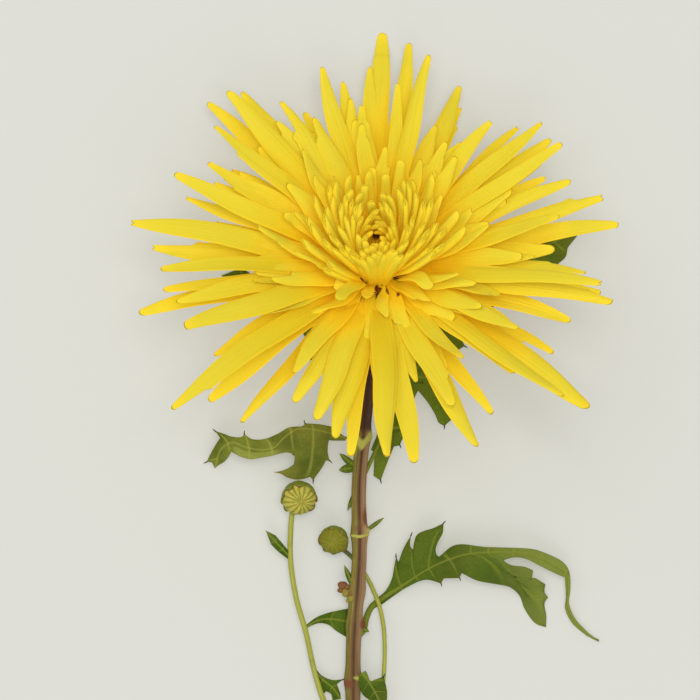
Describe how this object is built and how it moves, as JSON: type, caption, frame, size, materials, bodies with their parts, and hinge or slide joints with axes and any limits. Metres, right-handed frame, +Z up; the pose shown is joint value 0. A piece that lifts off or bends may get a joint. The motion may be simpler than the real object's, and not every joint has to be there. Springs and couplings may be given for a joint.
{
  "type": "spider chrysanthemum, cut stem",
  "caption": "Cut spider chrysanthemum lying down: a wide yellow bloom of long strap petals round a domed centre, on a ribbed stem with lobed leaves and two side buds.",
  "frame": {"origin": "middle of the footprint of the flower as it lies, on the surface it rests on", "axes": "+Y from the cut end of the stem towards the bloom, +X to the bloom's right as seen from above, +Z up from the surface"},
  "size_m": [0.1358, 0.2692, 0.0686],
  "materials": {
    "petal": "soft satin petal, lightly grooved along its length",
    "disc": "matt, tightly packed unopened florets",
    "bract": "matt green bracts with thin brown edges",
    "stem": "ribbed herbaceous stem, brown and olive stripes, low sheen",
    "leaf": "matt olive leaf with sunken veins and a paler underside",
    "shoot": "smooth yellow-green side shoot, low sheen",
    "bud": "ridged yellow-olive bud in green bracts"
  },
  "bodies": {
    "root": {"bloom": "petal", "disc_florets": "disc", "calyx": "bract", "stem": "stem", "leaf_left": "leaf", "leaf_right": "leaf", "leaf_under_left": "leaf", "leaf_under_right": "leaf", "leaf_low": "leaf", "bract_pair": "leaf", "bract_left": "leaf", "bract_right": "leaf", "bract_stub": "leaf", "side_bud_stub": "stem", "shoot_left": "shoot", "shoot_right": "shoot", "bud_left": "bud", "bud_right": "bud"}
  },
  "joints": []
}
